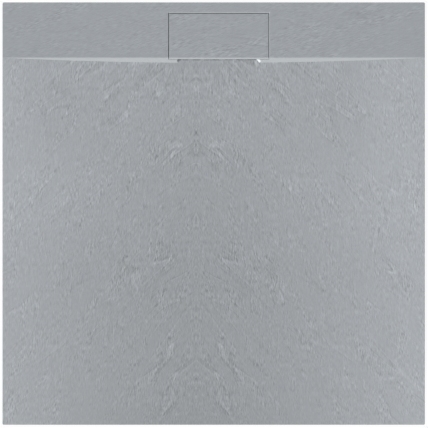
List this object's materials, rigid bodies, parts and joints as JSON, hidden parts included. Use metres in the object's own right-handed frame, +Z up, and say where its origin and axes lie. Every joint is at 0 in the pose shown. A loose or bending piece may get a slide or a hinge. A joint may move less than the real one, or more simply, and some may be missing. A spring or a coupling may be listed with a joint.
{
  "type": "shower tray",
  "caption": "Square stone-textured shower tray with a dished floor, a flush lift-off drain cover over a low trap, and height-adjustable legs.",
  "frame": {"origin": "on the floor under the centre of the tray's square plan, at the soles of its legs", "axes": "+X to the right seen from the front, +Y to the rear edge with the flat band and drain cover, +Z up"},
  "size_m": [1, 1, 0.11],
  "materials": {
    "cast_stone": "matte",
    "stainless": "satin",
    "brass": "satin",
    "rubber": "matte",
    "trap_plastic": "satin",
    "nut_plastic": "satin",
    "strainer_plastic": "satin",
    "leg_plastic": "matte"
  },
  "bodies": {
    "root": {"tray_body": "cast_stone", "waste_flange": "stainless", "flange_gasket": "rubber", "flange_screws": "stainless", "thread_inserts": "brass", "trap_gasket": "rubber", "trap_body": "trap_plastic", "ball_seal": "rubber", "ball_nut": "nut_plastic", "leg_head_1": "leg_plastic", "lock_ring_1": "nut_plastic", "leg_head_2": "leg_plastic", "lock_ring_2": "nut_plastic", "leg_head_3": "leg_plastic", "lock_ring_3": "nut_plastic", "leg_head_4": "leg_plastic", "lock_ring_4": "nut_plastic", "leg_head_5": "leg_plastic", "lock_ring_5": "nut_plastic", "leg_head_6": "leg_plastic", "lock_ring_6": "nut_plastic", "leg_head_7": "leg_plastic", "lock_ring_7": "nut_plastic", "leg_head_8": "leg_plastic", "lock_ring_8": "nut_plastic"},
    "cover": {"drain_cover": "cast_stone", "cover_pads": "rubber"},
    "strainer": {"hair_strainer": "strainer_plastic", "strainer_knob": "strainer_plastic"},
    "trap_insert": {"dip_tube": "trap_plastic", "dip_tube_seal": "rubber", "trap_cup": "trap_plastic"},
    "outlet": {"outlet_pipe": "trap_plastic"},
    "leg_1": {"leg_foot_1": "leg_plastic", "foot_sole_1": "rubber"},
    "leg_2": {"leg_foot_2": "leg_plastic", "foot_sole_2": "rubber"},
    "leg_3": {"leg_foot_3": "leg_plastic", "foot_sole_3": "rubber"},
    "leg_4": {"leg_foot_4": "leg_plastic", "foot_sole_4": "rubber"},
    "leg_5": {"leg_foot_5": "leg_plastic", "foot_sole_5": "rubber"},
    "leg_6": {"leg_foot_6": "leg_plastic", "foot_sole_6": "rubber"},
    "leg_7": {"leg_foot_7": "leg_plastic", "foot_sole_7": "rubber"},
    "leg_8": {"leg_foot_8": "leg_plastic", "foot_sole_8": "rubber"}
  },
  "joints": [
    {"name": "cover_lift", "type": "slide", "parent": "root", "child": "cover", "axis": [0, 0, 1], "range_m": [0, 0.2]},
    {"name": "strainer_lift", "type": "slide", "parent": "root", "child": "strainer", "axis": [0, 0, 1], "range_m": [0, 0.15]},
    {"name": "trap_insert_lift", "type": "slide", "parent": "root", "child": "trap_insert", "axis": [0, 0, 1], "range_m": [0, 0.1]},
    {"name": "outlet_swivel", "type": "hinge", "parent": "root", "child": "outlet", "pos_m": [-0.063, 0.418, 0.044], "axis": [0, 0, 1], "range_deg": [-12, 12]},
    {"name": "leg_1_height", "type": "slide", "parent": "root", "child": "leg_1", "axis": [0, 0, -1], "range_m": [-0.008, 0.02]},
    {"name": "leg_2_height", "type": "slide", "parent": "root", "child": "leg_2", "axis": [0, 0, -1], "range_m": [-0.008, 0.02]},
    {"name": "leg_3_height", "type": "slide", "parent": "root", "child": "leg_3", "axis": [0, 0, -1], "range_m": [-0.008, 0.02]},
    {"name": "leg_4_height", "type": "slide", "parent": "root", "child": "leg_4", "axis": [0, 0, -1], "range_m": [-0.008, 0.02]},
    {"name": "leg_5_height", "type": "slide", "parent": "root", "child": "leg_5", "axis": [0, 0, -1], "range_m": [-0.008, 0.02]},
    {"name": "leg_6_height", "type": "slide", "parent": "root", "child": "leg_6", "axis": [0, 0, -1], "range_m": [-0.008, 0.02]},
    {"name": "leg_7_height", "type": "slide", "parent": "root", "child": "leg_7", "axis": [0, 0, -1], "range_m": [-0.008, 0.02]},
    {"name": "leg_8_height", "type": "slide", "parent": "root", "child": "leg_8", "axis": [0, 0, -1], "range_m": [-0.008, 0.02]}
  ],
  "couplings": [
    {"joint": "strainer_lift", "follows": "cover_lift", "ratio": 0.75},
    {"joint": "trap_insert_lift", "follows": "cover_lift", "ratio": 0.5}
  ]
}
